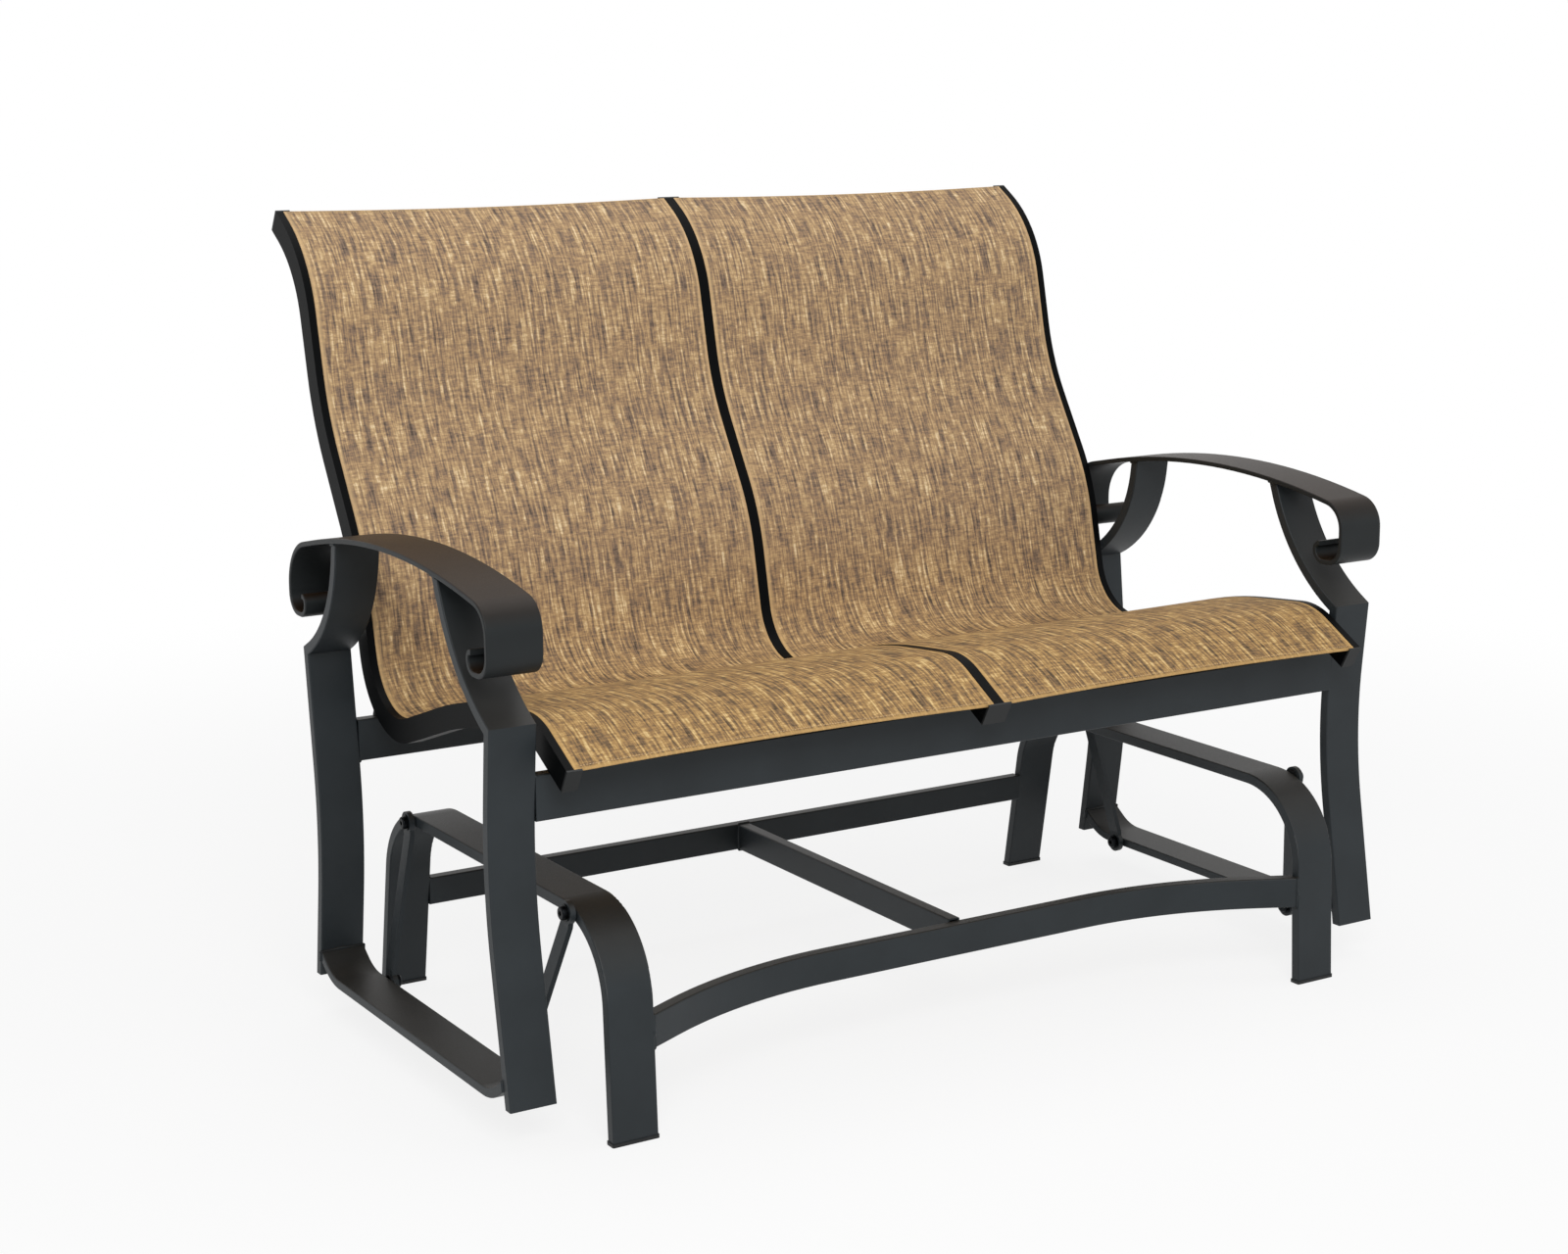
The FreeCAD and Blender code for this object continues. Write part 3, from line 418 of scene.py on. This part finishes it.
# Painted shade: the arms use the charcoal coat painted darker, to offset the brighter light that
# falls on them
arm_coat = powder_coat("charcoal_powder_coat_arms_painted_shade", "#232627", "#231910", 0.44, 0.16)
rail_coat = powder_coat("black_powder_coat", "#040506", "#060606", 0.45, 0.05)
black_plastic = moulded_plastic("moulded_polypropylene", "#121415", 0.55)
bush_plastic = moulded_plastic("moulded_acetal", "#1b1c1d", 0.4)
bolt_steel = machined_steel("blackened_steel", "#1b1d1f")
screw_steel = machined_steel("zinc_plated_steel", "#9a9da0")
sling_cloth = sling_weave("woven_vinyl_mesh")
seam_thread = thread("polyester_thread", "#c9ab80")

FINISHES = {"base_coat": charcoal_coat, "seat_coat": charcoal_coat, "arm_coat": arm_coat,
            "rail_coat": rail_coat, "spreader_coat": rail_coat, "link_coat": charcoal_coat,
            "hem_rod": black_plastic, "glide_plastic": black_plastic,
            "cap_plastic": black_plastic, "bush_plastic": bush_plastic,
            "steel_screws": screw_steel, "pivot_steel": bolt_steel, "washer_steel": bolt_steel,
            "sling_fabric": sling_cloth}
for row in frame["record"]["subparts"]:
    carried = frame["nodes"].get(row["node"])
    if carried:
        for place in carried.material_slots:
            place.material = FINISHES[row["material_slot"]]


# Sheets and trim

def mesh_object(name, vertices, faces, material, body, uv=None):
    """Smooth piece from vertices in metres and faces, riding on a body of the bench."""
    mesh = bpy.data.meshes.new(name)
    mesh.from_pydata([tuple(v) for v in vertices], [], faces)
    mesh.materials.append(material)
    for polygon in mesh.polygons:
        polygon.use_smooth = True
    if uv:
        layer = mesh.uv_layers.new(name="cloth")
        for loop in mesh.loops:
            layer.data[loop.index].uv = uv[loop.vertex_index]
    piece = bpy.data.objects.new(name, mesh)
    bpy.context.scene.collection.objects.link(piece)
    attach(piece, body)
    return piece


def cloth_profile():
    """Places across one panel with their drop below its face: down a slot, over, down the other."""
    edge = [(0.0, -SLOT_DROP)]
    for step in range(CLOTH_EDGE_STEPS + 1):
        angle = math.pi / 2 * step / CLOTH_EDGE_STEPS
        edge.append((CLOTH_EDGE_ROUND * (1 - math.cos(angle)),
                     -CLOTH_EDGE_ROUND * (1 - math.sin(angle))))
    inner = [(x, 0.0) for x in np.linspace(0, panel_width, COLUMNS + 1)[1:-1]]
    return edge + inner + [(panel_width - x, drop) for x, drop in edge[::-1]]


def lift_at(row, x):
    """How far the cloth stands off its line at one row, a distance across the panel."""
    return np.interp(x, np.linspace(0, panel_width, COLUMNS + 1), cloth_lift[row])


def cloth_place(x, along, depth, side):
    """Point at a distance across and along a panel, below its face by the depth.

    The rows draw together towards the middle of a panel, as the pull across bows its free ends."""
    bow = 4 * x * (panel_width - x) / panel_width ** 2
    along = FRONT_BOW * bow + along * (1 - (FRONT_BOW + TOP_BOW) * bow / line_length)
    rows = len(line_points)
    spot = min(max(along, 0.0), line_length) / line_length * (rows - 1)
    row = min(int(spot), rows - 2)
    share = spot - row
    point = line_points[row] * (1 - share) + line_points[row + 1] * share
    heading = line_headings[row] * (1 - share) + line_headings[row + 1] * share
    heading = heading / np.linalg.norm(heading)
    lift = lift_at(row, x) * (1 - share) + lift_at(row + 1, x) * share
    past = along - min(max(along, 0.0), line_length)
    upward = np.array([-heading[1], heading[0]])
    y, z = point + upward * (lift - depth) + heading * past
    return Vector((side * (PANEL_INNER + x), y - SLING_SHIFT, z)) * MM


def sling_sheet(name, side):
    """One panel as a closed thin sheet, its side edges turned down into the slots of the rails.

    Under the face, the turned-down edges keep the cloth's thickness by standing farther in."""
    places = cloth_profile()
    rows = len(line_points)
    columns = len(places)
    vertices, uv = [], []
    for layer in (0.0, -CLOTH_THICK):
        for row in range(rows):
            along = line_length * row / (rows - 1)
            for x, drop in places:
                tucked = drop < 0 and layer < 0
                inset = CLOTH_THICK * (1 if x < panel_width / 2 else -1) if tucked else 0.0
                depth = drop if tucked and drop <= -SLOT_DROP else drop + layer
                vertices.append(cloth_place(x + inset, along, -depth, side))
                uv.append((x * MM, along * MM))
    count = rows * columns
    faces = []
    for row in range(rows - 1):
        for column in range(columns - 1):
            a = row * columns + column
            quad = (a, a + 1, a + columns + 1, a + columns)
            faces.append(quad if side > 0 else quad[::-1])
            under = tuple(count + i for i in quad)
            faces.append(under[::-1] if side > 0 else under)
    rim = list(range(columns))
    rim += [row * columns + columns - 1 for row in range(1, rows)]
    rim += [(rows - 1) * columns + column for column in range(columns - 2, -1, -1)]
    rim += [row * columns for row in range(rows - 2, 0, -1)]
    for a, b in zip(rim, rim[1:] + rim[:1]):
        quad = (b, a, count + a, count + b)
        faces.append(quad if side > 0 else quad[::-1])
    piece = mesh_object(name, vertices, faces, sling_cloth, "seat_frame", uv)
    return piece


def tube_faces(first, rings, sides):
    """Faces of a tube through rings of vertices, and the two that close its ends."""
    faces = []
    for ring in range(rings - 1):
        for i in range(sides):
            a = first + ring * sides + i
            b = first + ring * sides + (i + 1) % sides
            faces.append((a, b, b + sides, a + sides))
    faces.append(tuple(first + i for i in range(sides))[::-1])
    faces.append(tuple(first + (rings - 1) * sides + i for i in range(sides)))
    return faces


def hem_fold(name, side, end):
    """Cloth folded under at one end of a panel, between the rails: a closed hook in section."""
    way = 1 if end == 0.0 else -1
    half = (CLOTH_THICK + HEM_THICK + HEM_GAP) / 2
    outer = [(HEM_WIDTH, 2 * half)]
    inner = [(HEM_WIDTH, 2 * half - HEM_THICK)]
    for step in range(HEM_FOLD_STEPS + 1):
        angle = math.pi * step / HEM_FOLD_STEPS
        outer.append((-half * math.sin(angle), half + half * math.cos(angle)))
        inner.append((-(half - HEM_THICK) * math.sin(angle),
                      half + (half - HEM_THICK) * math.cos(angle)))
    section = outer + inner[::-1]
    xs = np.linspace(RAIL_LAND, panel_width - RAIL_LAND, COLUMNS + 1)
    vertices = [cloth_place(x, end + way * run, depth, side) for x in xs
                for run, depth in section]
    uv = [(x * MM, (end + way * run) * MM) for x in xs for run, depth in section]
    faces = tube_faces(0, len(xs), len(section))
    if side * way > 0:
        faces = [face[::-1] for face in faces]
    return mesh_object(name, vertices, faces, sling_cloth, "seat_frame", uv)


def stitch_row(name, side, along):
    """A row of short stitches across a panel, each a pill half sunk in the cloth."""
    vertices, faces = [], []
    x = RAIL_LAND / 2
    while x + STITCH_PITCH < panel_width - RAIL_LAND / 2:
        first = len(vertices)
        for share, swell in STITCH_RINGS:
            for i in range(STITCH_SIDES):
                angle = 2 * math.pi * i / STITCH_SIDES
                out = STITCH_RADIUS * swell
                vertices.append(cloth_place(x + share * STITCH_LENGTH,
                                            along + out * math.cos(angle),
                                            -out * math.sin(angle), side))
        faces += tube_faces(first, len(STITCH_RINGS), STITCH_SIDES)
        x += STITCH_PITCH
    if side > 0:
        faces = [face[::-1] for face in faces]
    return mesh_object(name, vertices, faces, seam_thread, "seat_frame")


def weld_bead(name, piece, bar, body):
    """Bead of weld round the end face with which one piece stands on another."""
    ends = nearby_corners(frame["nodes"][piece], frame["nodes"][bar])
    middle = sum(ends, Vector()) / len(ends)
    normal = face_normal(ends, middle)
    u = normal.orthogonal().normalized()
    v = normal.cross(u)
    flat = [Vector(((p - middle).dot(u), (p - middle).dot(v))) for p in ends]
    loop = [flat[i] for i in convex_hull_2d(flat)]
    path = even_loop([middle + u * p.x + v * p.y for p in loop], WELD_PITCH * MM / 2)
    vertices, faces = [], []
    for index, point in enumerate(path):
        out = (point - middle).normalized()
        swell = WELD_RADIUS * MM * (1.0 if index % 2 else WELD_WAIST)
        for i in range(WELD_SIDES):
            angle = 2 * math.pi * i / WELD_SIDES
            vertices.append(point + (out * math.cos(angle) + normal * math.sin(angle)) * swell)
    for index in range(len(path)):
        for i in range(WELD_SIDES):
            a = index * WELD_SIDES + i
            b = index * WELD_SIDES + (i + 1) % WELD_SIDES
            c = (index + 1) % len(path) * WELD_SIDES
            faces.append((a, b, c + (i + 1) % WELD_SIDES, c + i))
    return mesh_object(name, vertices, faces, charcoal_coat, body)


def nearby_corners(piece, bar):
    """Corners of one mesh that touch the surface of another."""
    spots = [piece.matrix_world @ vertex.co for vertex in piece.data.vertices]
    inverse = bar.matrix_world.inverted()
    touching = []
    for spot in spots:
        found, near, _, _ = bar.closest_point_on_mesh(inverse @ spot)
        if found and (bar.matrix_world @ near - spot).length < TOUCHING * MM:
            touching.append(spot)
    return touching


def face_normal(points, middle):
    """Direction square to the flat that a set of points lies in."""
    offsets = np.array([point - middle for point in points])
    return Vector(np.linalg.svd(offsets)[2][2])


def even_loop(corners, pitch):
    """Points at nearly even steps round a closed loop of corners."""
    points = []
    for start, end in zip(corners, corners[1:] + corners[:1]):
        count = max(1, round((end - start).length / pitch))
        points += [start.lerp(end, i / count) for i in range(count)]
    return points


WELDS = [("seat_front_crossbar", "leg_front_%s", "seat_frame"),
         ("seat_rear_crossbar", "leg_rear_%s", "seat_frame"),
         ("arm_post_front_%s", "arm_%s", "seat_frame"),
         ("arm_post_rear_%s", "arm_%s", "seat_frame"),
         ("side_rail_%s", "leg_front_%s", "seat_frame"),
         ("side_rail_%s", "leg_rear_%s", "seat_frame"),
         ("base_front_stretcher", "base_arch_%s", "base"),
         ("base_rear_stretcher", "base_arch_%s", "base")]
for name in ("left", "right"):
    for piece, bar, body in WELDS:
        piece = piece.replace("%s", name)
        bar = bar.replace("%s", name)
        weld_bead("weld_%s_%s" % (piece, bar), piece, bar, body)
weld_bead("weld_center_front", "base_center_stretcher", "base_front_stretcher", "base")
weld_bead("weld_center_rear", "base_center_stretcher", "base_rear_stretcher", "base")

for name, side in (("left", -1), ("right", 1)):
    for end_name, end, inset in (("front", 0.0, STITCH_INSET),
                                 ("top", line_length, line_length - STITCH_INSET)):
        hem_fold("hem_%s_%s" % (end_name, name), side, end)
        stitch_row("stitches_%s_%s" % (end_name, name), side, inset)
    sheet = sling_sheet("sling_cloth_" + name, side)
    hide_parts("sling_" + name)


# Camera, floor and light

cos_pitch = math.cos(CAMERA_PITCH)
forward = Vector((math.sin(CAMERA_YAW) * cos_pitch, math.cos(CAMERA_YAW) * cos_pitch,
                  -math.sin(CAMERA_PITCH)))
level_right = Vector((math.cos(CAMERA_YAW), -math.sin(CAMERA_YAW), 0.0))
level_down = forward.cross(level_right)
right = level_right * math.cos(CAMERA_ROLL) + level_down * math.sin(CAMERA_ROLL)
down = level_down * math.cos(CAMERA_ROLL) - level_right * math.sin(CAMERA_ROLL)
camera_data = bpy.data.cameras.new("camera")
camera_data.lens = CAMERA_LENS
camera_data.sensor_width = SENSOR_WIDTH
camera = bpy.data.objects.new("camera", camera_data)
turn = Matrix((right, -down, -forward)).transposed().to_4x4()
camera.matrix_world = Matrix.Translation(CAMERA_PLACE) @ turn
bpy.context.scene.collection.objects.link(camera)
bpy.context.scene.camera = camera


def seen_directly(tree):
    """1 for a ray from the camera, a mirror or glass, and 0 for light on the object."""
    path = add(tree, "LightPath")
    two = add(tree, "Math", {0: path.outputs["Is Camera Ray"], 1: path.outputs["Is Glossy Ray"]},
              operation="MAXIMUM")
    return add(tree, "Math", {0: two.outputs[0], 1: path.outputs["Is Transmission Ray"]},
               operation="MAXIMUM").outputs[0]


def pale_floor():
    """Seamless white studio paper: it keeps a soft shadow under the bench and shows as white
    farther out."""
    material, tree = new_material("white_paper")
    paper = add(tree, "BsdfDiffuse", {"Color": linear("#f4f4f4")})
    glow = add(tree, "Emission", {"Color": linear("#ffffff"), "Strength": 1.0})
    place = add(tree, "NewGeometry").outputs["Position"]
    distance = add(tree, "VectorMath", {0: place}, operation="LENGTH")
    glowing = add(tree, "MapRange", {"Value": distance.outputs["Value"], "From Min": GLOW_NEAR,
                                     "From Max": GLOW_FAR, "To Min": GLOW_LEAST,
                                     "To Max": 1.0}, interpolation_type="SMOOTHSTEP")
    share = add(tree, "Math", {0: seen_directly(tree), 1: glowing.outputs[0]},
                operation="MULTIPLY")
    both = add(tree, "MixShader", {0: share.outputs[0], 1: paper.outputs[0], 2: glow.outputs[0]})
    add(tree, "OutputMaterial", {"Surface": both.outputs[0]})
    return material


floor_mesh = bpy.data.meshes.new("floor")
floor_mesh.from_pydata([(-FLOOR_HALF, -FLOOR_HALF, 0), (FLOOR_HALF, -FLOOR_HALF, 0),
                        (FLOOR_HALF, FLOOR_HALF, 0), (-FLOOR_HALF, FLOOR_HALF, 0)],
                       [], [(0, 1, 2, 3)])
floor_mesh.materials.append(pale_floor())
floor = bpy.data.objects.new("floor", floor_mesh)
bpy.context.scene.collection.objects.link(floor)

world = bpy.data.worlds.new("studio")
world.use_nodes = True
world.node_tree.nodes.clear()
bpy.context.scene.world = world
strength = add(world.node_tree, "MapRange", {"Value": seen_directly(world.node_tree),
                                             "To Min": WORLD_LIGHT, "To Max": 1.0})
sky = add(world.node_tree, "Background", {"Color": linear("#ffffff"),
                                          "Strength": strength.outputs[0]})
add(world.node_tree, "OutputWorld", {"Surface": sky.outputs[0]})


def soft_box(name, place, aim, size, power):
    """Rectangular studio lamp that looks at a point: places and sizes in metres, power in watts."""
    lamp = bpy.data.lights.new(name, "AREA")
    lamp.shape = "RECTANGLE"
    lamp.size, lamp.size_y = size
    lamp.energy = power
    lit = bpy.data.objects.new(name, lamp)
    lit.location = place
    lit.rotation_mode = "QUATERNION"
    lit.rotation_quaternion = (Vector(aim) - Vector(place)).to_track_quat("-Z", "Y")
    bpy.context.scene.collection.objects.link(lit)


soft_box("key", place=(-1.5, -3.1, 2.7), aim=(0.0, 0.0, 0.45), size=(2.2, 1.6), power=84)
soft_box("top", place=(0.3, 0.2, 3.4), aim=(0.0, 0.0, 0.4), size=(3.0, 2.0), power=34)
soft_box("fill", place=(3.2, -2.2, 1.6), aim=(0.0, 0.0, 0.4), size=(1.6, 1.6), power=4)

bpy.context.scene.view_settings.view_transform = "Standard"
